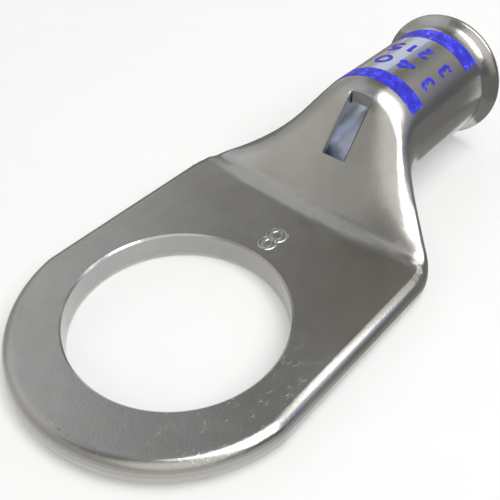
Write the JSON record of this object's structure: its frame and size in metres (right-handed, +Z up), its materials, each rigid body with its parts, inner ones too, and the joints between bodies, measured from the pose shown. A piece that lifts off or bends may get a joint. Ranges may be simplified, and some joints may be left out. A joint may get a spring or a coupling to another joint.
{
  "type": "cable lug",
  "caption": "Short tin-plated cable lug: a tube with a flared mouth for the wire and a sight window, pressed flat into a rounded palm with a stud hole.",
  "frame": {"origin": "centre of the stud hole in the plane of the palm's underside", "axes": "+X along the barrel towards its mouth, +Y to the left seen from the nose, +Z up out of the palm"},
  "size_m": [0.0403, 0.0196, 0.0097],
  "materials": {
    "tinned_copper": "satin tin plate",
    "blue_ink": "thin printed ink"
  },
  "bodies": {
    "root": {"cable_lug": "tinned_copper"}
  },
  "joints": []
}
